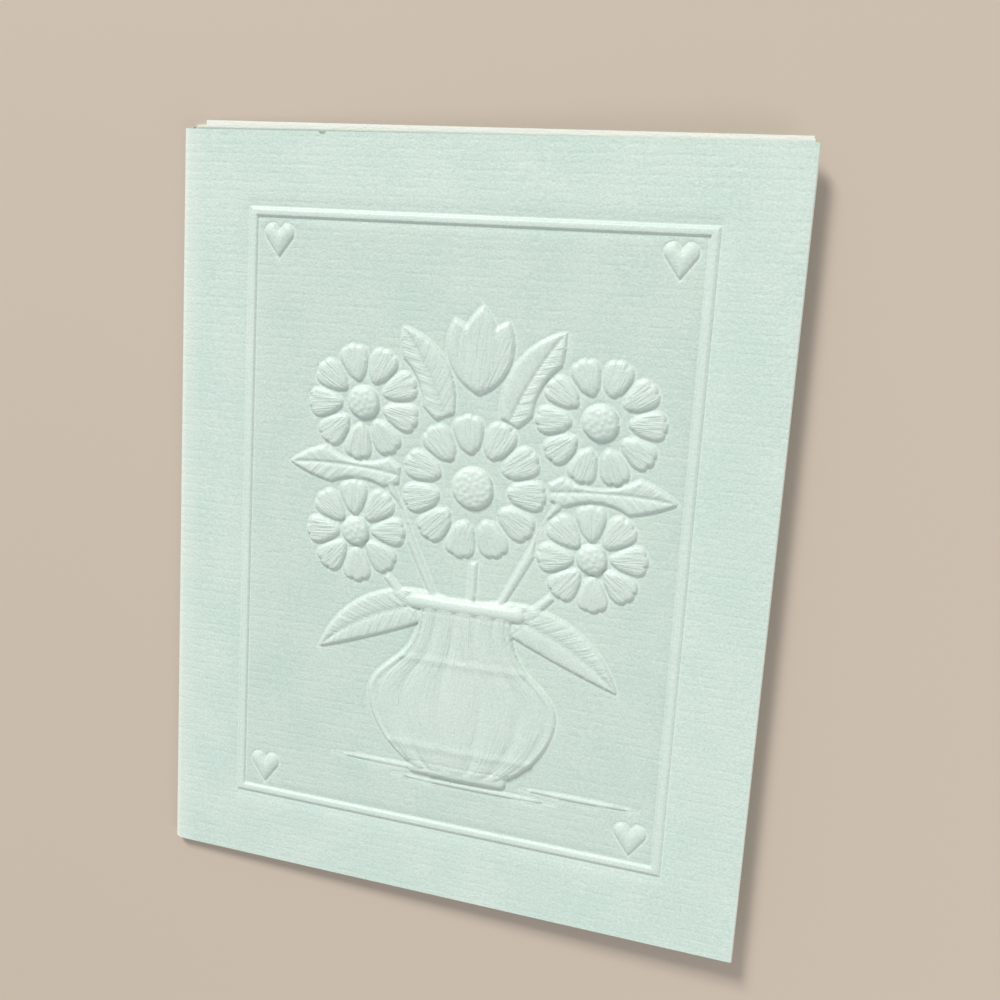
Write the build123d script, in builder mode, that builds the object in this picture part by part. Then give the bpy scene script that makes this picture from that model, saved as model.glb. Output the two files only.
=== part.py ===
from build123d import *
from math import asin, atan2, cos, degrees, hypot, pi, radians, sin, sqrt, tan
import os

# A greeting card made of one sheet of heavy laid paper, lying on its back.
# The blank has three panels in a row: the back, the front and a flap. The back
# folds to the front at the spine, on the left. The flap folds under at the fore
# edge, on the right, and hides the hollow reverse of the embossed front.
# The front is blind embossed: a ribbon frame, a heart in each corner and a vase
# of daisies between them, each raised from the sheet and hollow behind.
# Millimetres. X runs from spine to fore edge, Y up the card and Z away from the
# surface that it lies on. The origin is the middle of the card on that surface.

# Sheet
card_width = 107.95
card_height = 139.7
paper = 0.3

# Folds: each radius inside the bend, and how far the panels spring apart
spine_radius = 0.5
fore_radius = 0.25
front_angle = 1.6
flap_air = 0.12

# Back panel: short of the fore edge, its top edge standing above the front
back_short = 0.5
back_rise = 0.8
back_shoulder = 1.0
back_slope_run = 1.2

# Flap: short of the spine, its top edge rising towards its free corner
flap_short = 4.0
flap_shoulder = 0.5
flap_rise = 0.9
flap_skew = 0.72

# Embossing: the slope of its sides, and the wall left beside each hollow
side_slope = 30.0
emboss_wall = 0.35

# Ribbon frame and corner hearts
frame_margin = 13.4
ribbon_width = 1.6
ribbon_rise = 0.35
heart_width = 5.5
heart_height = 5.8
heart_lobe = 0.27
heart_rise = 0.5
heart_inset = 5.75

# Daisies: a large one, and smaller ones round it by angle and reach
bloom_right = 3.0
bloom_up = 9.5
main_reach = 13.0
side_daisies = ((147.0, 10.5), (33.0, 11.0), (206.0, 9.5), (335.0, 9.5))
daisy_gap = 1.2
eye_share = 0.3
petal_spacing = 7.2
petal_turn = 10.0
petal_parting = 0.5
petal_rise = 0.6
crown_arch = 0.6
eye_edge = 0.6
eye_rise = 1.25
eye_hollow_sides = 8

# Bud at the top
bud_start = 16.5
bud_length = 15.5
bud_width = 7.0
bud_splay = 20.0
bud_side_share = 0.9
bud_rise = 0.75

# Leaves round the daisies by angle and tip distance, and two at the vase. A blade's
# points are drawn in this many times as far as its sides.
leaf_start = 11.0
leaf_width = 7.6
leaf_bend = 0.9
leaf_rise = 0.45
point_inset = 1.5
leaf_parting = 0.45
leaf_sprays = ((178.0, 34.5), (2.0, 35.0), (117.0, 31.0), (63.0, 32.0))
droop_angle = 23.0
droop_length = 30.0
droop_bend = 3.2

# Stems, gathered inside the neck of the vase
stem_width = 1.5
stem_bend = 1.0
stem_rise = 0.4
stem_gather = 10.0

# Vase
vase_drop = 54.0
vase_height = 32.0
vase_belly = 35.0
vase_belly_up = 13.5
vase_foot = 16.0
vase_neck = 17.0
vase_lines = ((1.0, 0.5), (0.0, 1.0), (0.1, 1.0))
vase_edge = 0.4
vase_rise = 1.3
lip_width = 21.5
lip_depth = 2.6
lip_rise = 1.1
base_width = 18.5
base_depth = 2.4
base_rise = 0.8
band_corner = 0.3
flute_count = 7
flute_width = 0.8
flute_depth = 0.3
flute_low = 3.0
flute_high = 24.0
flute_reach = 0.93

# Ground strokes under the vase, by offset from its middle, drop and length
ground_width = 0.9
ground_rise = 0.2
ground_strokes = ((-24.0, 0.3, 22.0), (12.0, 0.6, 21.0), (-12.0, 2.4, 30.0))


class Drop(BaseSketchObject):
    """A petal along +X: a narrow root, straight sides and an arched or cut crown."""

    def __init__(self, length, root, shoulder, plain=False, mode=Mode.ADD):
        across = length - crown_arch * shoulder
        arch = 2 * atan2(crown_arch, 1)
        radius = shoulder / sin(arch)
        with BuildSketch() as drop:
            with BuildLine():
                Polyline((across, -shoulder), (0, -root), (0, root), (across, shoulder))
                if plain:
                    cut = (length - radius * (1 - cos(arch / 2)), radius * sin(arch / 2))
                    Polyline((across, shoulder), cut, (cut[0], -cut[1]), (across, -shoulder))
                else:
                    ThreePointArc((across, shoulder), (length, 0), (across, -shoulder))
            make_face()
        super().__init__(drop.sketch, 0, None, mode)


class Leaf(BaseSketchObject):
    """A pointed leaf along +X, its sides two arcs or a few straight cuts."""

    def __init__(self, length, width, bend=0, plain=False, mode=Mode.ADD):
        with BuildSketch() as leaf:
            with BuildLine():
                for swell in (bend + width / 2, bend - width / 2):
                    if plain:
                        quarter = (length / 4, swell * 3 / 4)
                        Polyline((0, 0), quarter, (length - quarter[0], quarter[1]), (length, 0))
                    else:
                        ThreePointArc((0, 0), (length / 2, swell), (length, 0))
            make_face()
        super().__init__(leaf.sketch, 0, None, mode)


class Heart(BaseSketchObject):
    """A heart on its point, its two lobes round or straight-sided."""

    def __init__(self, width, height, plain=False, mode=Mode.ADD):
        lobe = width * heart_lobe
        middle = (width / 2 - lobe, height / 2 - lobe)
        span = hypot(middle[0], height - lobe)
        side = sqrt(span**2 - lobe**2)
        turn = atan2(height - lobe, middle[0]) - asin(lobe / span)
        flank = (side * cos(turn), side * sin(turn) - height / 2)
        cleft = (0, middle[1] + sqrt(lobe**2 - middle[0] ** 2))
        with BuildSketch() as heart:
            with BuildLine():
                if plain:
                    Polyline(cleft, (middle[0], height / 2), (width / 2, middle[1]), flank)
                else:
                    ThreePointArc(cleft, (middle[0], height / 2), flank)
                Line(flank, (0, -height / 2))
                mirror(about=Plane.YZ)
            make_face()
        super().__init__(heart.sketch, 0, None, mode)


def polar(start, angle, distance):
    """The point at this angle and distance from a start."""
    return (start[0] + distance * cos(radians(angle)), start[1] + distance * sin(radians(angle)))


def bearing(start, end):
    """The angle and distance from one point to another."""
    run, rise = end[0] - start[0], end[1] - start[1]
    return degrees(atan2(rise, run)), hypot(run, rise)


# Where things stand on the front panel, measured from its middle
frame_width = card_width - 2 * frame_margin
frame_height = card_height - 2 * frame_margin
main_place = (bloom_right, bloom_up)
daisies = [(main_place, main_reach)]
for angle, reach in side_daisies:
    daisies.append((polar(main_place, angle, main_reach + reach + daisy_gap), reach))
bud_place = polar(main_place, 90, bud_start)
vase_place = (bloom_right, bloom_up - vase_drop)
mouth = (bloom_right, vase_place[1] + vase_height)


def sloped(draw, rise, inset):
    """A low form whose sides slope in, from an outline drawn at a given inset."""
    run = rise * tan(radians(side_slope))
    with BuildPart() as form:
        with BuildSketch():
            draw(inset)
        with BuildSketch(Plane.XY.offset(rise)):
            draw(inset + run)
        loft(ruled=True)
    return form.part


def pointed(length, width, bend, rise, inset):
    """A low pointed blade along +X, whose points draw in further than its sides."""
    def outline(drawn):
        with Locations((point_inset * drawn, 0)):
            Leaf(length - 2 * point_inset * drawn, width - 2 * drawn, bend, inset > 0)

    return sloped(outline, rise, inset)


def petal_count(reach):
    """How many petals fit round a daisy of this reach."""
    return round(2 * pi * reach / petal_spacing)


def petal(reach, inset):
    """One petal of a daisy of this reach, pointing along +X."""
    share = tan(pi / petal_count(reach))
    eye_reach = eye_share * reach
    shoulder = (reach * share - petal_parting / 2) / (1 + crown_arch * share)
    root = eye_reach * share - petal_parting / 2

    def outline(drawn):
        with Locations((eye_reach + drawn, 0)):
            Drop(reach - eye_reach - 2 * drawn, root - drawn / 2, shoulder - drawn, inset > 0)

    return sloped(outline, petal_rise, inset)


def eye(reach, inset):
    """The eye of a daisy of this reach: a dome, or a straight-sided hollow in it."""
    radius = eye_share * reach - petal_parting / 2 - inset
    with BuildPart() as dome:
        if inset > 0:
            with BuildSketch():
                RegularPolygon(radius, eye_hollow_sides)
            extrude(amount=eye_edge)
        else:
            swell = eye_rise - eye_edge
            ball = (radius**2 + swell**2) / (2 * swell)
            Cylinder(radius, eye_rise, align=(Align.CENTER, Align.CENTER, Align.MIN))
            with Locations((0, 0, eye_rise - ball)):
                Sphere(ball, mode=Mode.INTERSECT)
    return dome.part


def bud(inset):
    """A bud of three pointed petals, the middle one in front."""
    with BuildPart() as flower:
        for splay in (-bud_splay, bud_splay, 0):
            share, rise = (bud_side_share, petal_rise) if splay else (1, bud_rise)
            blade = pointed(bud_length * share, bud_width * share, 0, rise, inset)
            with Locations(Location((0, 0, 0), (0, 0, splay))):
                add(blade)
    return flower.part


def leaf_places():
    """Each leaf's root, angle, length and sideways bend."""
    places = []
    for angle, tip in leaf_sprays:
        turn = 1 if cos(radians(angle)) > 0 else -1
        places.append((polar(main_place, angle, leaf_start), angle, tip - leaf_start, turn * leaf_bend))
    for turn in (-1, 1):
        places.append((mouth, 90 - turn * (90 + droop_angle), droop_length, turn * droop_bend))
    return places


def leaves(inset):
    """Leaves and stems, cut back where the flowers stand in front of them."""
    gather = (mouth[0], mouth[1] - stem_gather)
    with BuildPart() as greens:
        for root, angle, length, bend in leaf_places():
            with Locations(Location((root[0], root[1], 0), (0, 0, angle))):
                add(pointed(length, leaf_width, bend, leaf_rise, inset))
        for place, reach in daisies:
            angle, distance = bearing(gather, place)
            bend = -stem_bend if cos(radians(angle)) > 0 else stem_bend
            with Locations(Location((gather[0], gather[1], 0), (0, 0, angle))):
                add(pointed(distance, stem_width, bend, stem_rise, inset))
        for place, reach in daisies:
            with Locations((place[0], place[1], 0)):
                Cylinder(reach + leaf_parting + inset, 4 * leaf_rise, mode=Mode.SUBTRACT)
    return greens.part


def band(width, depth, rise, inset):
    """A raised band across the vase, with cut corners."""
    def outline(drawn):
        with BuildSketch(mode=Mode.PRIVATE) as bar:
            Rectangle(width - 2 * drawn, depth - 2 * drawn)
            chamfer(bar.vertices(), (depth - 2 * drawn) * band_corner)
        add(bar.sketch)

    return sloped(outline, rise, inset)


def vase(inset):
    """The vase, domed from side to side, with its flutes, its lip and its foot."""
    swell = vase_rise - vase_edge
    dome = ((vase_belly / 2) ** 2 + swell**2) / (2 * swell)
    foot, belly, neck = ((width / 2 - inset) for width in (vase_foot, vase_belly, vase_neck))
    with BuildPart() as grooves:
        for flute in range(1, flute_count):
            across = flute_reach * sin(radians(180 * flute / flute_count - 90))
            angle, length = bearing((across * foot, flute_low), (across * neck, flute_high))
            with BuildSketch():
                with Locations(Location((across * foot, flute_low, 0), (0, 0, angle))):
                    Leaf(length, flute_width, across * ((foot + neck) / 2 - belly))
            extrude(amount=2 * vase_rise)
        with Locations((0, vase_height / 2, vase_rise - dome)):
            Cylinder(dome - flute_depth, 2 * vase_height, rotation=(90, 0, 0), mode=Mode.SUBTRACT)
    with BuildPart() as pot:
        with BuildSketch():
            with BuildLine():
                Spline((foot, 0), (belly, vase_belly_up), (neck, vase_height), tangents=vase_lines)
                Polyline((foot, 0), (0, 0), (0, vase_height), (neck, vase_height))
            make_face()
            mirror(about=Plane.YZ)
        extrude(amount=2 * vase_rise)
        with Locations((0, vase_height / 2, vase_rise - dome)):
            Cylinder(dome, 2 * vase_height, rotation=(90, 0, 0), mode=Mode.INTERSECT)
        if inset == 0:
            add(grooves.part, mode=Mode.SUBTRACT)
        with Locations((0, vase_height)):
            add(band(lip_width, lip_depth, lip_rise, inset))
        add(band(base_width, base_depth, base_rise, inset))
    return pot.part


def forms(inset):
    """Every embossed form, set out on the XY plane and drawn in by the inset."""
    with BuildPart() as ribbon:
        with BuildSketch():
            Rectangle(frame_width - 2 * inset, frame_height - 2 * inset)
        extrude(amount=ribbon_rise, taper=side_slope)
        with BuildSketch():
            hole = ribbon_width - inset
            Rectangle(frame_width - 2 * hole, frame_height - 2 * hole)
        extrude(amount=ribbon_rise, taper=-side_slope, mode=Mode.SUBTRACT)
    placed = [ribbon.part, leaves(inset)]

    heart = sloped(
        lambda drawn: Heart(heart_width - 2 * drawn, heart_height - 2 * drawn, inset > 0), heart_rise, inset)
    for spot in GridLocations(frame_width - 2 * heart_inset, frame_height - 2 * heart_inset, 2, 2):
        placed.append(heart.moved(spot))

    if inset == 0:
        for right, down, length in ground_strokes:
            stroke = pointed(length, ground_width, 0, ground_rise, inset)
            placed.append(stroke.moved(Location((vase_place[0] + right, vase_place[1] - down, 0))))

    placed.append(vase(inset).moved(Location((vase_place[0], vase_place[1], 0))))
    placed.append(bud(inset).moved(Location((bud_place[0], bud_place[1], 0), (0, 0, 90))))
    for place, reach in daisies:
        middle = Location((place[0], place[1], 0))
        placed.append(eye(reach, inset).moved(middle))
        blade = petal(reach, inset)
        for spot in PolarLocations(0, petal_count(reach), start_angle=petal_turn * reach):
            placed.append(blade.moved(middle * spot))
    return [solid for piece in placed for solid in piece.solids()]


# The section of the folds: the front panel rises from the spine to the fore edge
lean = radians(front_angle)
spine_middle = (-card_width / 2 + spine_radius + paper, spine_radius + paper)
fore_across = card_width / 2 - fore_radius - paper
front_from = polar(spine_middle, 90 + front_angle, spine_radius)
front_run = (fore_across - fore_radius * sin(lean) - front_from[0]) / cos(lean)
front_to = polar(front_from, front_angle, front_run)
fore_middle = polar(front_to, front_angle - 90, fore_radius)

# The flap lies from the fore edge down to the back panel, near the spine
flap_end = (-card_width / 2 + flap_short, paper + flap_air)
flap_bearing, flap_reach = bearing(flap_end, fore_middle)
flap_angle = flap_bearing - degrees(asin((fore_radius + paper) / flap_reach))
flap_run = sqrt(flap_reach**2 - (fore_radius + paper) ** 2)

# The forms as they rise from the front and as they are hollowed from its reverse
raised = forms(0)
hollows = forms(emboss_wall)

with BuildPart() as card:
    # Front panel with both folds, drawn as one section from the back round to the flap
    with BuildSketch(Plane.XZ):
        with BuildLine():
            outer_spine = CenterArc(spine_middle, spine_radius + paper, 90 + front_angle, 180 - front_angle)
            inner_spine = CenterArc(spine_middle, spine_radius, 90 + front_angle, 180 - front_angle)
            fore_sweep = 180 + front_angle - flap_angle
            outer_fore = CenterArc(fore_middle, fore_radius + paper, flap_angle - 90, fore_sweep)
            inner_fore = CenterArc(fore_middle, fore_radius, flap_angle - 90, fore_sweep)
            Line(outer_spine @ 1, inner_spine @ 1)
            Line(outer_spine @ 0, outer_fore @ 1)
            Line(inner_spine @ 0, inner_fore @ 1)
            Line(outer_fore @ 0, inner_fore @ 0)
        make_face()
    extrude(amount=card_height / 2, both=True)

    # Back panel, with a shoulder beside the spine
    with BuildSketch():
        with BuildLine():
            left = spine_middle[0]
            right = card_width / 2 - back_short
            low, high = -card_height / 2, card_height / 2
            step = -card_width / 2 + back_shoulder
            Polyline(
                (left, low), (right, low), (right, high + back_rise),
                (step + back_slope_run, high + back_rise), (step, high), (left, high), close=True)
        make_face()
    extrude(amount=paper)

    # Flap, a little out of square, with a shoulder beside the fore edge
    flap_plane = Plane(
        (flap_end[0], 0, flap_end[1]),
        x_dir=(cos(radians(flap_angle)), 0, sin(radians(flap_angle))),
        z_dir=(-sin(radians(flap_angle)), 0, cos(radians(flap_angle))))
    with BuildSketch(flap_plane):
        with BuildLine():
            step = flap_run - flap_shoulder
            Polyline(
                (0, low + flap_rise + flap_skew), (flap_run, low + flap_rise), (flap_run, high),
                (step, high), (step, high + flap_rise), (0, high + flap_rise + flap_skew), close=True)
        make_face()
    extrude(amount=paper)

    # Embossing, raised on the front and hollowed from its reverse
    front_face = Plane(
        (0, 0, front_from[1] + paper / cos(lean) - front_from[0] * tan(lean)),
        x_dir=(cos(lean), 0, sin(lean)), z_dir=(-sin(lean), 0, cos(lean)))
    with Locations(front_face):
        add(raised)
    with Locations(front_face.offset(-paper)):
        add(hollows, mode=Mode.SUBTRACT)

card.part.label = "card"
os.makedirs("parts", exist_ok=True)
export_step(card.part, "parts/card.step")
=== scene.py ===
# A note card of heavy laid paper, blind embossed on its front with a ribbon frame, four
# corner hearts and a vase of daisies. It lies closed on its back on a plain surface.
# The dies are laid out and pressed in millimetres on the flat sheet, which is folded last.

from collections import namedtuple
from itertools import product
from math import asin, atan2, ceil, cos, exp, floor, hypot, pi, radians, sin, sqrt, tan

import bmesh
import bpy
from mathutils import Matrix, Vector
from mathutils.geometry import interpolate_bezier


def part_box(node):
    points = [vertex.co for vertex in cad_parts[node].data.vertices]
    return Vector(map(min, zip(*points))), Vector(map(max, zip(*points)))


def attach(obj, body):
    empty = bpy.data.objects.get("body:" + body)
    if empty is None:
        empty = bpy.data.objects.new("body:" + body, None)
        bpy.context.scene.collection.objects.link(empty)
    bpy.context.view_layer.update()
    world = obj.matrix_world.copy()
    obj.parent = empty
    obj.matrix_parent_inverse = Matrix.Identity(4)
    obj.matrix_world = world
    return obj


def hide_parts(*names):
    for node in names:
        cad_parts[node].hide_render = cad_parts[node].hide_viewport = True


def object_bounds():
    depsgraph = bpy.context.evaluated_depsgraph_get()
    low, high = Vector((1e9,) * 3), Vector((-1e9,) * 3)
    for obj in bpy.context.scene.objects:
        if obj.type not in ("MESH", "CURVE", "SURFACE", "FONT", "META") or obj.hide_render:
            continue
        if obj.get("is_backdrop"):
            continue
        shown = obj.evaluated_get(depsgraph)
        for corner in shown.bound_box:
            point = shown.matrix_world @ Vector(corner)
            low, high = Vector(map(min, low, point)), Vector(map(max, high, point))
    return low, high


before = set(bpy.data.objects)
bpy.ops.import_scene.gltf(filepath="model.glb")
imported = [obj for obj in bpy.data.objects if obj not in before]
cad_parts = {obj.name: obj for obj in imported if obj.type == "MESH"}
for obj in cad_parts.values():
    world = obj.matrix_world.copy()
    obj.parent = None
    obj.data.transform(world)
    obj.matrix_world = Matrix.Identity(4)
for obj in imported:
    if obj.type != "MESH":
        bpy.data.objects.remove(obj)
solid_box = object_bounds()


# The camera. It looks down on the card from beyond the upper right of its middle, with
# its top turned a little to the left of the card's own.
eye_point = Vector((0.03452, 0.05389, 0.17818))
aim_point = Vector((-0.0112, 0.02375, 0.002))
looking = (aim_point - eye_point).normalized()
rightward = looking.cross(Vector((-0.048, 0.999, 0))).normalized()
view_axes = Matrix((rightward, rightward.cross(looking), -looking)).transposed()
camera = bpy.data.objects.new("camera", bpy.data.cameras.new("camera"))
camera.data.lens = 37.39
camera.data.sensor_width = 36
camera.data.shift_x = 0.1
camera.data.shift_y = -0.1
camera.data.clip_start = 0.01
camera.matrix_world = Matrix.Translation(eye_point) @ view_axes.to_4x4()
bpy.context.scene.collection.objects.link(camera)
bpy.context.scene.camera = camera
bpy.context.scene.view_settings.view_transform = "Standard"


# The table top. A plain painted board in warm grey, broad enough to fill every view. The
# card lies straight on it.
def linear(colour):
    """An sRGB hex colour as the linear one that a shader takes."""
    shares = [int(colour[place:place + 2], 16) / 255 for place in (1, 3, 5)]
    parts = [share / 12.92 if share <= 0.04045 else ((share + 0.055) / 1.055) ** 2.4 for share in shares]
    return (*parts, 1)


def node(tree, kind, settings={}, links={}):
    """One node with its settings, its sockets' values and what is linked into it."""
    made = tree.nodes.new(kind)
    for name, value in settings.items():
        if isinstance(name, str) and name not in made.inputs:
            setattr(made, name, value)
        else:
            made.inputs[name].default_value = value
    for name, source in links.items():
        tree.links.new(source, made.inputs[name])
    return made


def coat(name):
    """A new material with its tree and shader."""
    material = bpy.data.materials.new(name)
    material.use_nodes = True
    return material, material.node_tree, material.node_tree.nodes["Principled BSDF"]


board, tree, shader = coat("painted_board")
shader.inputs["Base Color"].default_value = linear("#C8BAAC")
shader.inputs["Roughness"].default_value = 0.75
shape = bmesh.new()
bmesh.ops.create_grid(shape, x_segments=8, y_segments=8, size=2)
mesh = bpy.data.meshes.new("table_top")
shape.to_mesh(mesh)
shape.free()
mesh.materials.append(board)
table_top = bpy.data.objects.new("table_top", mesh)
bpy.context.scene.collection.objects.link(table_top)
table_top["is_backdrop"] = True


# The light. A broad soft lamp stands low beyond the top of the card and a little to its left,
# so that the embossing shows, and a weaker one fills from the lower right, in a pale room.
def lamp(name, place, size, power, colour):
    """A square lamp that faces the card."""
    light = bpy.data.lights.new(name, "AREA")
    light.size = size
    light.energy = power
    light.color = linear(colour)[:3]
    made = bpy.data.objects.new(name, light)
    made.location = place
    made.rotation_euler = (-Vector(place)).to_track_quat("-Z", "Y").to_euler()
    bpy.context.scene.collection.objects.link(made)


lamp("window", (-1.05, 2.35, 1.55), size=0.7, power=86, colour="#FFFDF8")
lamp("bounce", (0.5, -0.4, 0.35), size=0.5, power=1.3, colour="#FFFBF4")
room = bpy.data.worlds.new("room")
room.use_nodes = True
air = room.node_tree.nodes["Background"]
air.inputs["Color"].default_value = linear("#F4F6F8")
air.inputs["Strength"].default_value = 0.48
bpy.context.scene.world = room


# The folds. The sheet is 0.3 mm thick. From its free edge the back runs to the spine, the
# front leans up from there to the fore edge, and the flap runs back down beneath it.
mm = 0.001
card_low, card_high = (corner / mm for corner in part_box("card"))
paper = 0.3
half_width = card_high.x
half_height = -card_low.y
spine_radius = 0.5
fore_radius = 0.25
lean = radians(1.6)
back_short = 0.5
flap_short = 4.0
flap_air = 0.12


def up_panel(start, run, out, leaning):
    """The point this far up a panel that leans by this angle, and this far out from its line."""
    return (start[0] + run * cos(leaning) - out * sin(leaning),
            start[1] + run * sin(leaning) + out * cos(leaning))


def round_fold(middle, reach, turn):
    """The point at this reach and angle from the middle of a fold."""
    return middle[0] + reach * cos(turn), middle[1] + reach * sin(turn)


spine_middle = (-half_width + spine_radius + paper, spine_radius + paper)
front_start = up_panel(spine_middle, 0, spine_radius, lean)
fore_x = half_width - fore_radius - paper
front_run = (fore_x - fore_radius * sin(lean) - front_start[0]) / cos(lean)
fore_middle = up_panel(front_start, front_run, -fore_radius, lean)
flap_end = (-half_width + flap_short, paper + flap_air)
flap_reach = hypot(fore_middle[0] - flap_end[0], fore_middle[1] - flap_end[1])
flap_lean = atan2(fore_middle[1] - flap_end[1], fore_middle[0] - flap_end[0])
flap_lean -= asin((fore_radius + paper) / flap_reach)
flap_run = sqrt(flap_reach**2 - (fore_radius + paper) ** 2)

spine_turn = pi - lean
fore_turn = pi + lean - flap_lean
back_run = half_width - back_short - spine_middle[0]
front_at = back_run + spine_turn
fore_at = front_at + front_run
flap_at = fore_at + fore_turn
sheet_end = flap_at + flap_run
middle_at = front_at + (paper * sin(lean) - front_start[0]) / cos(lean)


def folded(along, out):
    """Where a point of the flat sheet comes to lie, in the card's section.

    The way along is in millimetres on the panels and in radians round the folds, and
    out is its height over the sheet's inner face."""
    if along <= back_run:
        return half_width - back_short - along, paper - out
    if along < front_at:
        return round_fold(spine_middle, spine_radius + out, 1.5 * pi - (along - back_run))
    if along <= fore_at:
        return up_panel(front_start, along - front_at, out, lean)
    if along < flap_at:
        return round_fold(fore_middle, fore_radius + out, pi / 2 + lean - (along - fore_at))
    return up_panel(flap_end, sheet_end - along, paper - out, flap_lean)


# The cut edges. The back and the flap stand above the front from a shoulder beside each fold,
# the flap a little askew. Handling has rounded two corners and chipped the front's top edge.
back_rise = 0.8
shoulder_at = 2 * half_width - back_short - 1.0
shoulder_run = 1.2
flap_rise = 0.9
flap_skew = 0.72
flap_step = flap_at + 0.5
step_width = 0.02
corner_wear = 0.3
wear_start = 0.7
wear_run = 1.5
chip_at = middle_at - 27.4
chip_half = 0.8
chip_side = 0.35
chip_deep = 0.5
edge_row = 1


def eased(share):
    """A share from 0 to 1 that starts and ends gently."""
    share = min(1, max(0, share))
    return share * share * (3 - 2 * share)


def trimmed(along, up):
    """How far up a point lies once the sheet's edges are cut to their lines and worn."""
    top, bottom = half_height, -half_height
    if along <= back_run:
        top += back_rise * min(1, max(0, (shoulder_at - along) / shoulder_run))
    if fore_at - wear_start < along < flap_at:
        top -= corner_wear * eased((along - fore_at + wear_start) / wear_run)
    if back_run < along < front_at + wear_start:
        bottom += corner_wear * eased((front_at + wear_start - along) / wear_run)
    if along > flap_at:
        skew = flap_skew * (along - flap_at) / flap_run
        bottom += flap_rise + skew
        if along > flap_step + step_width / 2:
            top += flap_rise + skew
    chip = chip_deep * min(1, max(0, (chip_half - abs(along - chip_at)) / chip_side))
    chip *= max(0, up - half_height + edge_row)
    return bottom + (up + half_height) / (2 * half_height) * (top - bottom) - chip


# The dies. Each embossed form is a die pressed into the damp sheet from behind. A die has an
# outline, which says how deep inside it a point is, and a relief, which says how high it stands.
Die = namedtuple("Die", "name place cosine sine outline relief foot grain flow shift")
dies = []
die_shelf = {}
shelf_step = 3.0
stroke_shift = 3.7


def lay_die(name, place, turn, reach, outline, relief, foot, grain=0.0, flow=lambda x, y: (y, x)):
    """Sets a die on the front, its own axis turned anticlockwise, and files it by place.

    Its foot is the width of its sloped side. The grain is how deep its strokes are, and the
    flow says across and along which way they run."""
    die = Die(name, place, cos(turn), sin(turn), outline, relief, foot, grain, flow,
              stroke_shift * len(dies))
    dies.append(die)
    across, up = (range(floor((middle - reach) / shelf_step), ceil((middle + reach) / shelf_step))
                  for middle in place)
    for cell in product(across, up):
        die_shelf.setdefault(cell, []).append(die)


def onto(die, across, up):
    """A point's place on a die."""
    right, rise = across - die.place[0], up - die.place[1]
    return right * die.cosine + rise * die.sine, rise * die.cosine - right * die.sine


def depths(across, up):
    """Every die near a point, with the point's place on it and its depth inside it."""
    for die in die_shelf.get((floor(across / shelf_step), floor(up / shelf_step)), ()):
        x, y = onto(die, across, up)
        yield die, x, y, die.outline(x, y)


# The daisies. Each has a ring of petals that widen outwards to an arched crown, creased along
# the middle, round a domed eye of small seeds.
def polar(start, angle, distance):
    """The point at this angle in degrees and this distance from a start."""
    return start[0] + distance * cos(radians(angle)), start[1] + distance * sin(radians(angle))


def softer(first, second, reach):
    """The lesser of two depths, with the corner between them rounded."""
    blend = max(0, reach - abs(first - second)) / reach
    return min(first, second) - blend * blend * reach / 4


def wall(depth, tall, foot):
    """The height of a die's sloped side this deep inside its outline."""
    return tall * min(1, depth / foot)


def ridge(offset, width):
    """The share of its height that a soft ridge or crease has beside its line."""
    return exp(-(offset / width) ** 2)


flower_middle = (3.0, 9.5)
main_reach = 13.0
flower_gap = 1.2
daisies = [(flower_middle, main_reach)]
for angle, reach in ((147, 10.5), (33, 11), (206, 9.5), (335, 9.5)):
    daisies.append((polar(flower_middle, angle, main_reach + reach + flower_gap), reach))
rim_per_petal = 7.2
petal_gap = 0.25
petal_foot = 0.26
petal_lift = 0.4
petal_crown = 0.26
middle_crease = 0.22
side_crease = 0.13
crown_arch = 0.6
crown_notch = 0.3
crown_softness = 1.3
root_softness = 0.5
eye_share = 0.3
eye_foot = 0.25
eye_lift = 0.58
eye_dome = 0.5
seed_lift = 0.15
seed_step = 0.62
golden_turn = radians(137.508)


def petal_die(reach, count):
    """The outline, relief and flow of one petal, which points along X from the flower's middle."""
    share = tan(pi / count)
    start = eye_share * reach
    shoulder = (reach * share - petal_gap) / (1 + crown_arch * share)
    root = start * share - petal_gap
    length = reach - start
    arch_radius = shoulder / sin(2 * atan2(crown_arch, 1))
    flare = (shoulder - root) / (length - crown_arch * shoulder)
    square = 1 / hypot(1, flare)

    def outline(x, y):
        side = (root + flare * (x - start) - abs(y)) * square
        arch = arch_radius - hypot(x - reach + arch_radius, y)
        arch -= crown_notch * ridge(abs(y) - shoulder / 3, 0.3)
        return softer(softer(side, arch, crown_softness), x - start, root_softness)

    def relief(depth, x, y):
        run = (x - start) / length
        across = y / (root + flare * (x - start) + 0.3)
        fullness = 0.55 + 0.45 * sin(pi * min(1, 0.15 + run))
        crown = petal_crown * (1 - min(1, across * across)) * fullness
        crease = middle_crease * ridge(y, 0.3) * (1 - eased(run * 1.15))
        crease += side_crease * ridge(abs(y) - shoulder / 3 * run, 0.22) * eased((run - 0.35) * 2)
        return wall(depth, petal_lift, petal_foot) + (crown - crease) * eased(depth / 0.9)

    def flow(x, y):
        return y * (1.7 - 0.7 * x / reach), x

    return outline, relief, flow


def eye_die(radius):
    """The outline and relief of a flower's eye. Its spiral of seeds is laid out in seed steps."""
    seeds = [(0.98 * sqrt(number + 0.5), golden_turn * number) for number in range(60)]
    seeds = [(reach * cos(turn), reach * sin(turn))
             for reach, turn in seeds if reach * seed_step < radius - 0.5]

    def outline(x, y):
        return radius - hypot(x, y)

    def relief(depth, x, y):
        dome = eye_dome * (1 - (hypot(x, y) / radius) ** 2)
        seed = min((x - seed_step * right) ** 2 + (y - seed_step * rise) ** 2 for right, rise in seeds)
        dome += seed_lift * max(0, 1 - seed / 0.3)
        return wall(depth, eye_lift, eye_foot) + eased(depth / 0.5) * dome

    return outline, relief


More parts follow.
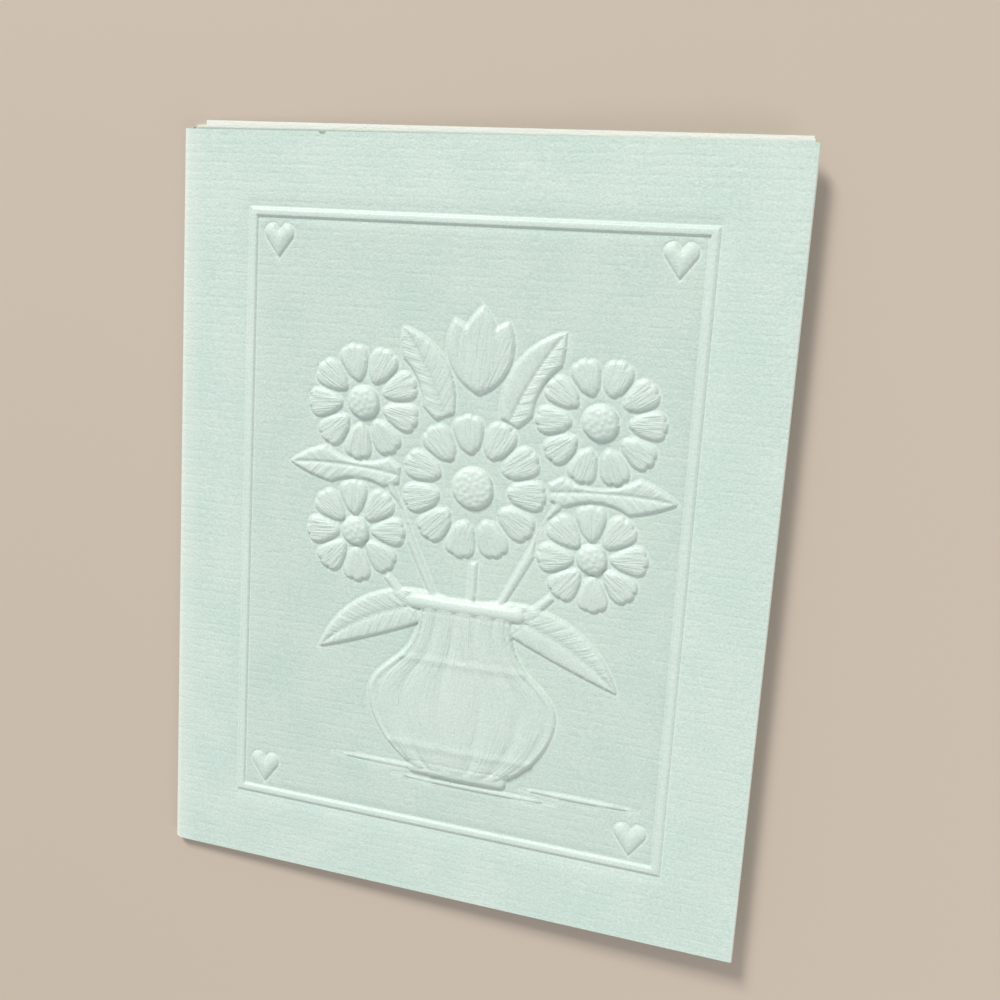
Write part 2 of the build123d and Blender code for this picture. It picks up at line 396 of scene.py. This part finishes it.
for place, reach in daisies:
    count = round(2 * pi * reach / rim_per_petal)
    outline, relief, flow = petal_die(reach, count)
    for number in range(count):
        turn = radians(10 * reach + 360 * number / count)
        lay_die("petal", place, turn, reach + 1, outline, relief, petal_foot, grain=1.0, flow=flow)
    radius = eye_share * reach - petal_gap
    lay_die("eye", place, 0, eye_share * reach + 1, *eye_die(radius), eye_foot)


# The leaves and stems. Long pointed leaves, each with a sunk midrib and low side veins, spread
# out behind the flowers, and thin round stems run down into the vase.
vase_foot = (3.0, -44.5)
vase_tall = 32.0
mouth = (vase_foot[0], vase_foot[1] + vase_tall)
gather = (mouth[0], mouth[1] - 10)
leaf_width = 7.6
leaf_foot = 0.22
leaf_lift = 0.36
leaf_crown = 0.6
leaf_root = 11
leaf_bend = 0.9
vein_lift = 0.05
vein_step = 2.2
vein_slant = 0.9
midrib_deep = 0.22
stem_width = 1.5
stem_bend = 1.0
stem_lift = 0.42
flower_clear = 0.45


def under_arc(length, swell, x, y):
    """How far a point is below the arc from (0, 0) to (length, 0) that swells this far up."""
    radius = (length * length / 4 + swell * swell) / (2 * abs(swell))
    if swell > 0:
        return radius - hypot(x - length / 2, y - swell + radius)
    return hypot(x - length / 2, y - swell - radius) - radius


def blade_outline(length, width, bend, place=None, turn=0):
    """A pointed blade along X, which stops short of the flowers where it has a place."""
    def outline(x, y):
        over, under = (under_arc(length, bend + half, x, y) for half in (width / 2, -width / 2))
        depth = min(over, -under, x, length - x)
        if place and depth > -1:
            across = place[0] + x * cos(turn) - y * sin(turn)
            up = place[1] + x * sin(turn) + y * cos(turn)
            for middle, reach in daisies:
                depth = min(depth, hypot(across - middle[0], up - middle[1]) - reach - flower_clear)
        return depth

    return outline


def leaf_relief(length, bend):
    """A leaf's blade, crowned, with its midrib sunk and veins raised on both sides of it."""
    def beside(x, y):
        return y - bend * 4 * x * (length - x) / length**2

    def relief(depth, x, y):
        side = beside(x, y)
        swell = min(1, abs(2 * side / leaf_width))
        crown = leaf_crown * swell * (1 - swell)
        veins = vein_lift * cos(2 * pi * (x - vein_slant * abs(side)) / vein_step) * eased(abs(side) / 0.8)
        midrib = midrib_deep * ridge(side, 0.3)
        return wall(depth, leaf_lift, leaf_foot) + (crown + veins - midrib) * eased(depth / 0.8)

    def flow(x, y):
        side = beside(x, y)
        return x - vein_slant * abs(side), side

    return relief, flow


def stem_relief(depth, x, y):
    """A thin round stem."""
    return stem_lift * sqrt(min(1, depth / 0.6))


def lay_leaf(place, angle, length, bend):
    """One leaf from its root."""
    turn = radians(angle)
    outline = blade_outline(length, leaf_width, bend, place, turn)
    relief, flow = leaf_relief(length, bend)
    lay_die("leaf", place, turn, length + 1, outline, relief, leaf_foot, grain=0.7, flow=flow)


for angle, tip in ((178, 34.5), (2, 35), (117, 31), (63, 32)):
    bend = leaf_bend if cos(radians(angle)) > 0 else -leaf_bend
    lay_leaf(polar(flower_middle, angle, leaf_root), angle, tip - leaf_root, bend)
for side in (-1, 1):
    lay_leaf(mouth, 90 - side * 113, 30, side * 3.2)
for place, reach in daisies:
    right, rise = place[0] - gather[0], place[1] - gather[1]
    turn = atan2(rise, right)
    length = hypot(right, rise)
    bend = -stem_bend if cos(turn) > 0 else stem_bend
    outline = blade_outline(length, stem_width, bend, gather, turn)
    lay_die("stem", gather, turn, length + 1, outline, stem_relief, foot=0.2)


# The bud. Three pointed petals at the top of the spray, the middle one in front and pressed a
# little higher than the two that splay out behind it.
bud_place = polar(flower_middle, 90, 16.5)
bud_tall = 15.5
bud_width = 7.0
bud_crown = 0.25
slope = tan(radians(30))


def bud_relief(lift, width):
    """A bud's petal, crowned across."""
    def relief(depth, x, y):
        crown = bud_crown * (1 - min(1, (2 * y / width) ** 2))
        return wall(depth, lift - 0.2, lift * slope) + crown * eased(depth / 0.8)

    return relief


for splay, share, lift in ((-20, 0.9, 0.6), (20, 0.9, 0.6), (0, 1, 0.75)):
    outline = blade_outline(bud_tall * share, bud_width * share, 0)
    relief = bud_relief(lift, bud_width * share)
    lay_die("bud", bud_place, radians(90 + splay), bud_tall + 0.5, outline, relief,
            foot=lift * slope, grain=1.0)


# The vase. A round-bellied vase with seven raised flutes, two thin beads, a rolled lip and a
# stepped foot, over a few strokes of ground.
belly = 17.5
flank = []
for corners, steps in (
        (((8, 0), (12.9, 2.6), (belly, 8), (belly, 13.5)), 20),
        (((belly, 13.5), (belly, 16.6), (14.6, 18.8), (12.3, 20.9)), 16),
        (((12.3, 20.9), (9.6, 23.5), (8, 27), (8.5, vase_tall)), 16)):
    flank = flank[:-1] + interpolate_bezier(*(Vector(corner) for corner in corners), steps)
belly_swell = 0.9
belly_radius = (belly**2 + belly_swell**2) / (2 * belly_swell)
vase_lift = 1.28
vase_side = 0.44
flute_count = 7
flute_deep = 0.36
bead_lift = 0.2
bead_width = 0.5
bead_heights = (21.4, 4.6)
ground_width = 0.9
ground_lift = 0.24


def half_vase(up):
    """Half the vase's width at a height, and how its side leans there."""
    for low, high in zip(flank, flank[1:]):
        if low.y <= up <= high.y:
            leaning = (high.x - low.x) / (high.y - low.y)
            return low.x + (up - low.y) * leaning, leaning
    return (flank[0].x, 0) if up < 0 else (flank[-1].x, 0)


def vase_outline(x, y):
    """The vase's side view, with X up from its foot."""
    half, leaning = half_vase(x)
    return min((half - abs(y)) / hypot(1, leaning), x, vase_tall - x)


def vase_relief(depth, x, y):
    """The vase's belly, fluted from lip to foot, with its beads."""
    half = half_vase(x)[0]
    turn = asin(max(-1, min(1, y / half))) / pi + 0.5
    flute = abs(turn * flute_count - floor(turn * flute_count) - 0.5) * 2
    tall = vase_lift - y * y / (2 * belly_radius) - 0.2 * ((x - 15) / 16) ** 2 - flute_deep * flute**3
    beads = bead_lift * sum(ridge(x - height, bead_width) for height in bead_heights)
    return (tall + beads) * min(1, 0.2 + depth / 0.55)


def vase_flow(x, y):
    """The vase's strokes run up it and close in with its sides."""
    return y * belly / half_vase(x)[0], x


def band_outline(width, tall):
    """A bar across the vase with rounded ends."""
    def outline(x, y):
        across = max(0, abs(x) - width / 2 + tall / 2)
        return tall / 2 - hypot(across, y)

    return outline


def band_relief(lift, width, tall):
    """A rolled bar, highest along its middle and towards the middle of the vase."""
    def relief(depth, x, y):
        roll = min(1, depth / (tall / 2))
        return (lift - 0.3 * (2 * x / width) ** 2) * min(1, 0.3 + 0.7 * sqrt(1 - (1 - roll) ** 2))

    return relief


def ground_relief(depth, x, y):
    """A low stroke of ground."""
    return wall(depth, ground_lift, 0.2)


lay_die("vase", vase_foot, pi / 2, vase_tall + 5, vase_outline, vase_relief, vase_side,
        grain=0.7, flow=vase_flow)
for place, width, tall, lift in ((mouth, 21.5, 2.6, 1.25), (vase_foot, 18.5, 2.4, 1.0)):
    outline, relief = band_outline(width, tall), band_relief(lift, width, tall)
    lay_die("band", place, 0, width / 2 + 2, outline, relief, foot=0.2)
for right, down, length in ((-24, 0.3, 22), (12, 0.6, 21), (-12, 2.4, 30)):
    place = (vase_foot[0] + right, vase_foot[1] - down)
    outline = blade_outline(length, ground_width, 0)
    lay_die("ground", place, 0, length + 1, outline, ground_relief, foot=0.15)


# The ribbon. A narrow rounded band round the picture, with a fine line along its outer side. The
# die's counterpart bites a line into the sheet on both sides of it.
frame_margin = 13.4
frame_half = (half_width - frame_margin, half_height - frame_margin)
ribbon_bite = 0.06
ribbon_rises = (
    (-0.35, 0), (-0.13, -ribbon_bite), (0, 0), (0.11, 0.15), (0.24, 0.14), (0.4, 0.3), (0.58, 0.33),
    (1.24, 0.34), (1.37, 0.3), (1.57, 0), (1.7, -ribbon_bite), (1.9, 0))
ribbon_lines = [inside for inside, rise in ribbon_rises]
ribbon_start, ribbon_end = ribbon_lines[0], ribbon_lines[-1]


def inside_frame(across, up):
    """How far inside the ribbon's outer line a point lies."""
    return min(frame_half[0] - abs(across), frame_half[1] - abs(up))


def ribbon_height(across, up):
    """The ribbon's height at a point."""
    inside = inside_frame(across, up)
    for (start, low), (end, high) in zip(ribbon_rises, ribbon_rises[1:]):
        if start <= inside <= end:
            return low + (high - low) * (inside - start) / (end - start)
    return 0


# The hearts. One in each corner of the frame, gently domed, with a wide cleft. The line bitten
# round them is a little deeper than round the other forms.
heart_width = 5.5
heart_tall = 5.8
heart_inset = 5.75
heart_lift = 0.14
heart_dome = 0.38
heart_lobe = heart_width * 0.27
lobe_middle = (heart_width / 2 - heart_lobe, heart_tall / 2 - heart_lobe)
point_reach = hypot(lobe_middle[0], heart_tall - heart_lobe)
point_turn = atan2(heart_tall - heart_lobe, lobe_middle[0]) - asin(heart_lobe / point_reach)
cleft = 1.75
cleft_turn = radians(40)


def heart_outline(x, y):
    """Two round lobes with straight sides down to the point, and the cleft between them."""
    right, rise = abs(x) - lobe_middle[0], y - lobe_middle[1]
    notch = hypot(x, y - cleft)
    if abs(x) * sin(cleft_turn) + (y - cleft) * cos(cleft_turn) > 0:
        notch = abs(x) * cos(cleft_turn) - (y - cleft) * sin(cleft_turn)
    if -right * cos(point_turn) - rise * sin(point_turn) > 0:
        return min(notch, heart_lobe - (right * sin(point_turn) - rise * cos(point_turn)))
    if right < 0 and rise < 0:
        return notch
    return min(notch, heart_lobe - hypot(right, rise))


def heart_relief(depth, x, y):
    """A low step that rises in a soft dome."""
    return wall(depth, heart_lift, heart_lift) + heart_dome * sin(pi / 2 * min(1, depth / 1.35))


for side, end in product((-1, 1), (-1, 1)):
    place = (side * (frame_half[0] - heart_inset), end * (frame_half[1] - heart_inset))
    lay_die("heart", place, 0, 5, heart_outline, heart_relief, foot=0.2)


# The sheet. It starts as a flat grid with lines where it is folded, stepped and pressed. It
# gets its thickness, then finer cells along the outlines of the dies.
plain_cell = 9
margin_cell = 3
picture_cell = 2
spine_cell = 0.3
fore_cell = 0.35


def spread(start, end, step):
    """Places from a start to an end, evenly, about a step apart, without the end."""
    count = max(1, round((end - start) / step))
    return [start + (end - start) * number / count for number in range(count)]


left, right = middle_at - frame_half[0], middle_at + frame_half[0]
chip_start, chip_end = chip_at - chip_half, chip_at + chip_half
columns = spread(0, shoulder_at - shoulder_run, plain_cell)
columns += [shoulder_at - shoulder_run, shoulder_at, back_run - paper]
columns += spread(back_run, front_at, spine_cell) + [front_at, front_at + paper]
columns += spread(front_at + wear_start, left + ribbon_start, margin_cell)
columns += [left + inside for inside in ribbon_lines[:-1]]
columns += spread(left + ribbon_end, chip_start, picture_cell)
columns += [chip_start, chip_start + chip_side, chip_end - chip_side]
columns += spread(chip_end, right - ribbon_end, picture_cell)
columns += [right - inside for inside in reversed(ribbon_lines)]
columns += spread(right - ribbon_start, fore_at - wear_start, margin_cell)[1:]
columns += [fore_at - wear_start, fore_at - paper] + spread(fore_at, flap_at, fore_cell)
columns += [flap_at, flap_step, flap_step + step_width]
columns += spread(flap_step + step_width, sheet_end, plain_cell)[1:] + [sheet_end]

low, high = -frame_half[1], frame_half[1]
rows = [-half_height, paper - half_height]
rows += spread(edge_row - half_height, low + ribbon_start, margin_cell)
rows += [low + inside for inside in ribbon_lines[:-1]]
rows += spread(low + ribbon_end, high - ribbon_end, picture_cell)
rows += [high - inside for inside in reversed(ribbon_lines)]
rows += spread(high - ribbon_start, half_height - edge_row, margin_cell)[1:]
rows += [half_height - edge_row, half_height - paper, half_height]

sheet = bmesh.new()
bmesh.ops.create_grid(sheet, x_segments=len(columns) - 1, y_segments=len(rows) - 1, size=1)
sheet.verts.ensure_lookup_table()
for number, corner in enumerate(sheet.verts):
    corner.co = (columns[number % len(columns)], rows[number // len(columns)], 0)
lifted = bmesh.ops.extrude_face_region(sheet, geom=sheet.faces[:])["geom"]
outer = [part for part in lifted if isinstance(part, bmesh.types.BMVert)]
bmesh.ops.translate(sheet, vec=(0, 0, paper), verts=outer)


def refine(wanted, lowest):
    """Halves the front's cells where they are wanted finer, on both faces or the outer one."""
    cells = []
    for cell in sheet.faces:
        spot = cell.calc_center_median()
        across, up = spot.x - middle_at, spot.y
        if spot.z < lowest or inside_frame(across, up) < ribbon_end + 0.05:
            continue
        if any(wanted(die, x, y, depth) for die, x, y, depth in depths(across, up)):
            cells.append(cell)
    edges = list({edge for cell in cells for edge in cell.edges})
    bmesh.ops.subdivide_edges(sheet, edges=edges, cuts=1, use_grid_fill=True)


def near_line(die, x, y, depth):
    """Whether a cell is near a line that has to be crisp, or on a flower's eye."""
    if die.name == "leaf" and depth > 0 and abs(y) < 1.6:
        return True
    return -0.55 < depth < (3 if die.name == "eye" else die.foot + 0.3)


outer_only = paper * 0.9
refine(lambda die, x, y, depth: depth > -1.5, 0)
refine(lambda die, x, y, depth: depth > -0.8, outer_only)
refine(near_line, outer_only)
refine(lambda die, x, y, depth: die.name == "heart" and -0.5 < depth < 1.4, outer_only)


# The pressing. Points near a die's lines are drawn onto them, so that they stay crisp, and the
# sheet takes the dies' heights. The counterpart bites a fine polished line round each form, painted
# paler as a highlight, and the reverse is hollow behind the broad ones.
draw_reach = 0.13
heart_draw_reach = 0.06
probe = 0.01
bite = 0.46
bite_deep = 0.07
heart_bite_deep = 0.1
hollow_deep = 0.4
hollow_start = 1.2
full_burnish_and_sheen = 0.4
# Shares of painted highlight, a paler cream, on the cut edges, the reverse, the folds and beside the
# spine.
rim_highlight = 1
reverse_highlight = 0.75
fold_highlight = 0.4
spine_highlight = 0.3


def drawn_to_lines(across, up):
    """A point moved onto a die's foot or shoulder, or onto its bite, if it is very near to one."""
    nearest, target = draw_reach, None
    for die, x, y, depth in depths(across, up):
        reach = heart_draw_reach if die.name == "heart" else draw_reach
        for line in (-bite / 2, 0, die.foot):
            if abs(depth - line) < min(abs(nearest), reach):
                nearest, target = line - depth, die
    if not target:
        return across, up
    x, y = onto(target, across, up)
    here = target.outline(x, y)
    lean_x = (target.outline(x + probe, y) - here) / probe
    lean_y = (target.outline(x, y + probe) - here) / probe
    steep = hypot(lean_x, lean_y)
    if steep < 0.3:
        return across, up
    x += nearest * lean_x / steep**2
    y += nearest * lean_y / steep**2
    return (target.place[0] + x * target.cosine - y * target.sine,
            target.place[1] + x * target.sine + y * target.cosine)


def pressed(across, up):
    """The sheet's height at a point, how far it is polished and painted with sheen, how far scored, and
    the die that lifts it.
    """
    height, polish_and_sheen, scored, lifting = 0, 0, 0, None
    for die, x, y, depth in depths(across, up):
        if -bite < depth <= 0:
            share = 1 - abs(2 * depth / bite + 1)
            bitten = (heart_bite_deep if die.name == "heart" else bite_deep) * share
            height = min(height, -bitten) if height <= 0 else height - 1.5 * bitten
            polish_and_sheen = max(polish_and_sheen, 2 * share)
        if depth > 0:
            rise = die.relief(depth, x, y)
            if rise > max(0, height):
                height, polish_and_sheen, lifting = rise, 0, die
                scored = die.grain * eased((depth - die.foot) / 0.4)
    return height, polish_and_sheen, scored, lifting


def span(face):
    """A flat sheet's face's lowest and highest corner."""
    heights = [corner.co.z for corner in face.verts]
    return min(heights), max(heights)


# The material reads how deep the strokes are, how far the sheet is burnished and painted with
# sheen, where it has painted shade and painted highlight, which side is its reverse, and the lines that
# the strokes follow.
rim = {face for face in sheet.faces if span(face)[0] < paper / 2 < span(face)[1]}
inner_sides = {face for face in sheet.faces if span(face)[1] < paper / 2}
stroke_depth = sheet.verts.layers.float.new("stroke_depth")
burnish_and_sheen = sheet.verts.layers.float.new("burnish_and_sheen")
painted_middle_shade = sheet.verts.layers.float.new("painted_middle_shade")
painted_highlight = sheet.loops.layers.float.new("painted_highlight")
reverse = sheet.loops.layers.float.new("reverse")
stroke_lines = sheet.loops.layers.uv.new("stroke_lines")
highlight_shares = {}
flat_places = {}
lifted_by = {}
for corner in sheet.verts:
    along, up, out = corner.co
    across = along - middle_at
    if inside_frame(across, up) >= -0.4:
        if out > 0:
            across, up = drawn_to_lines(across, up)
            along = across + middle_at
            height, polish_and_sheen, corner[stroke_depth], die = pressed(across, up)
            band = ribbon_height(across, up)
            out += height + band
            flat_places[corner] = (across, up)
            if die:
                lifted_by[corner] = die
            raised = min(1, (out - paper) / full_burnish_and_sheen)
            # Raised and bitten places are burnished, and the colour paints them paler there as a sheen.
            corner[burnish_and_sheen] = max(raised, polish_and_sheen, -2 * band / ribbon_bite, 0)
            # Painted shade: inside the frame the sheet's colour is a shade darker.
            corner[painted_middle_shade] = eased(inside_frame(across, up) - 0.95)
        else:
            inside = max((depth for die, x, y, depth in depths(across, up)), default=-1)
            out += hollow_deep * eased(inside - hollow_start)
    if back_run < along < front_at or fore_at < along < flap_at:
        highlight_shares[corner] = fold_highlight
    elif front_at <= along < front_at + 2:
        highlight_shares[corner] = spine_highlight - 0.15 * (along - front_at)
    section = folded(along, out)
    corner.co = (section[0] * mm, trimmed(along, up) * mm, section[1] * mm)

# Painted highlight: the cut edges, the reverse and the folds take a paler cream.
for face in sheet.faces:
    die = next((lifted_by[corner] for corner in face.verts if corner in lifted_by), None)
    for loop in face.loops:
        loop[painted_highlight] = highlight_shares.get(loop.vert, 0)
        if face in rim or face in inner_sides:
            loop[painted_highlight] = rim_highlight if face in rim else reverse_highlight
        loop[reverse] = face in inner_sides
        if die and loop.vert in flat_places:
            stroke_across, stroke_along = die.flow(*onto(die, *flat_places[loop.vert]))
            loop[stroke_lines].uv = ((stroke_across + die.shift) / 10, stroke_along / 10)
bmesh.ops.recalc_face_normals(sheet, faces=sheet.faces)
for face in sheet.faces:
    face.smooth = True
for face in rim:
    for edge in face.edges:
        edge.smooth = all(side in rim for side in edge.link_faces)
card_mesh = bpy.data.meshes.new("card_sheet")
sheet.to_mesh(card_mesh)
sheet.free()


# Laid card. Wood pulp on a mould of parallel wires, which leaves faint ribs across the sheet
# 1.6 mm apart, uncoated, mint white with a faint pearl in it. The dies burnish what they raise,
# which the colour shows as a painted sheen, and leave it scored with short fine strokes.
laid, tree, shader = coat("laid_card")
shader.inputs["IOR"].default_value = 1.47
shader.inputs["Sheen Weight"].default_value = 0.15
shader.inputs["Sheen Roughness"].default_value = 0.4
on_card = node(tree, "ShaderNodeTexCoord").outputs["Object"]
burnish_and_sheen_share = node(tree, "ShaderNodeAttribute", {"attribute_name": "burnish_and_sheen"}).outputs["Fac"]

# The wires' marks are thin and broken, and the dies' burnish leaves little of them. A wave
# texture has one band to each twentieth of a turn of its coordinate.
wire_pitch = 1.62 * mm
wires = node(tree, "ShaderNodeTexWave", {
    "bands_direction": "Y", "Scale": 2 * pi / 20 / wire_pitch, "Distortion": 0.7,
    "Detail": 2, "Detail Scale": 2.5}, {"Vector": on_card}).outputs["Fac"]
wires = node(tree, "ShaderNodeMath", {"operation": "POWER", 1: 3}, {0: wires}).outputs["Value"]
broken = node(tree, "ShaderNodeMapping", {"Scale": (0.35, 1, 1)}, {"Vector": on_card}).outputs["Vector"]
broken = node(tree, "ShaderNodeTexNoise", {"Scale": 900, "Detail": 2}, {"Vector": broken}).outputs["Fac"]
broken = node(tree, "ShaderNodeMapRange", {"From Min": 0.35, "From Max": 0.65},
              {"Value": broken}).outputs["Result"]
left_rough = node(tree, "ShaderNodeMapRange", {"To Min": 1, "To Max": 0.3},
                  {"Value": burnish_and_sheen_share}).outputs["Result"]
ribs = node(tree, "ShaderNodeMath", {"operation": "MULTIPLY"}, {0: wires, 1: broken}).outputs["Value"]
ribs = node(tree, "ShaderNodeMath", {"operation": "MULTIPLY"}, {0: ribs, 1: left_rough}).outputs["Value"]

# Pulp fibres, a fraction of a millimetre long, and clouds in the pulp of several millimetres.
fibres = node(tree, "ShaderNodeTexNoise", {
    "Scale": 2500, "Detail": 3, "Roughness": 0.65, "Distortion": 0.4}, {"Vector": on_card}).outputs["Fac"]
cloudy = node(tree, "ShaderNodeTexNoise", {"Scale": 110, "Detail": 3}, {"Vector": on_card}).outputs["Fac"]

# The strokes that the dies score are long along their flow and narrow across it.
strokes = node(tree, "ShaderNodeUVMap", {"uv_map": "stroke_lines"}).outputs["UV"]
strokes = node(tree, "ShaderNodeMapping", {"Scale": (17, 1.8, 1)}, {"Vector": strokes}).outputs["Vector"]
strokes = node(tree, "ShaderNodeTexNoise", {"Scale": 1, "Detail": 2, "Roughness": 0.6},
               {"Vector": strokes}).outputs["Fac"]
strokes = node(tree, "ShaderNodeMapRange", {"From Min": 0.38, "From Max": 0.62},
               {"Value": strokes}).outputs["Result"]
scoring = node(tree, "ShaderNodeAttribute", {"attribute_name": "stroke_depth"}).outputs["Fac"]
strokes = node(tree, "ShaderNodeMath", {"operation": "MULTIPLY"},
               {0: strokes, 1: scoring}).outputs["Value"]

bumped = node(tree, "ShaderNodeBump", {"Strength": 1, "Distance": 0.085 * mm},
              {"Height": strokes}).outputs["Normal"]
bumped = node(tree, "ShaderNodeBump", {"Strength": 1, "Distance": 0.03 * mm, "invert": True},
              {"Height": ribs, "Normal": bumped}).outputs["Normal"]
bumped = node(tree, "ShaderNodeBump", {"Strength": 1, "Distance": 0.1 * mm},
              {"Height": fibres, "Normal": bumped}).outputs["Normal"]
tree.links.new(bumped, shader.inputs["Normal"])

# The colour. The pulp's own mint, with painted shade a shade darker inside the frame, a painted
# sheen paler where it is burnished, and a painted highlight in pale cream on the cut edges, the reverse
# and the folds.
tones = []
for pattern, dark, light in ((fibres, "#C7DAD0", "#DDEBE5"), (cloudy, "#F6FBFA", "#FFFFFF")):
    ramp = node(tree, "ShaderNodeValToRGB", {}, {"Fac": pattern})
    for end, position, colour in zip(ramp.color_ramp.elements, (0.3, 0.7), (dark, light)):
        end.position = position
        end.color = linear(colour)
    tones.append(ramp.outputs["Color"])
tint = node(tree, "ShaderNodeMix", {"data_type": "RGBA", "blend_type": "MULTIPLY", 0: 1},
            {6: tones[0], 7: tones[1]})
# Painted shade: a shade darker inside the frame.
middle_shade_share = node(tree, "ShaderNodeAttribute", {"attribute_name": "painted_middle_shade"}).outputs["Fac"]
tint = node(tree, "ShaderNodeMix", {"data_type": "RGBA", "blend_type": "MULTIPLY", 7: linear("#F9F9F8")},
            {0: middle_shade_share, 6: tint.outputs[2]})
# Painted sheen: burnished places are tinted paler.
painted_sheen = node(tree, "ShaderNodeMath", {"operation": "MULTIPLY", 1: 0.25}, {0: burnish_and_sheen_share}).outputs["Value"]
tint = node(tree, "ShaderNodeMix", {"data_type": "RGBA", 7: linear("#EAF4EE")},
            {0: painted_sheen, 6: tint.outputs[2]})
# Painted highlight: the cut edges, folds and reverse are tinted a paler cream.
highlight_tint_share = node(tree, "ShaderNodeAttribute", {"attribute_name": "painted_highlight"}).outputs["Fac"]
tint = node(tree, "ShaderNodeMix", {"data_type": "RGBA", 7: linear("#F8F8F0")},
            {0: highlight_tint_share, 6: tint.outputs[2]})

# Painted shadow: a faint grey line on the flap just under the front's cut top edge, where the
# gap between them lies in shade, fading towards the fore edge.
spot = node(tree, "ShaderNodeSeparateXYZ", {}, {"Vector": on_card})
painted_gap_shadow = node(tree, "ShaderNodeMapRange", {
    "interpolation_type": "SMOOTHSTEP", "From Min": 0.0698, "From Max": 0.0706,
    "To Min": 0.9, "To Max": 0}, {"Value": spot.outputs["Y"]}).outputs["Result"]
on_reverse = node(tree, "ShaderNodeAttribute", {"attribute_name": "reverse"}).outputs["Fac"]
painted_gap_shadow = node(tree, "ShaderNodeMath", {"operation": "MULTIPLY"},
                 {0: painted_gap_shadow, 1: on_reverse}).outputs["Value"]
gap_shadow_fade = node(tree, "ShaderNodeMapRange", {
    "From Min": -0.03, "From Max": 0.04, "To Min": 1, "To Max": 0.25},
    {"Value": spot.outputs["X"]}).outputs["Result"]
painted_gap_shadow = node(tree, "ShaderNodeMath", {"operation": "MULTIPLY"},
                 {0: painted_gap_shadow, 1: gap_shadow_fade}).outputs["Value"]
tint = node(tree, "ShaderNodeMix", {"data_type": "RGBA", 7: linear("#9FB5A9")},
            {0: painted_gap_shadow, 6: tint.outputs[2]})
tree.links.new(tint.outputs[2], shader.inputs["Base Color"])
gloss = node(tree, "ShaderNodeMapRange", {"To Min": 0.62, "To Max": 0.36},
             {"Value": burnish_and_sheen_share}).outputs["Result"]
tree.links.new(gloss, shader.inputs["Roughness"])
card_mesh.materials.append(laid)

card_sheet = bpy.data.objects.new("card_sheet", card_mesh)
bpy.context.scene.collection.objects.link(card_sheet)
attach(card_sheet, "root")
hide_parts("card")

sizes = [[list(corner) for corner in box] for box in (solid_box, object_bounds())]
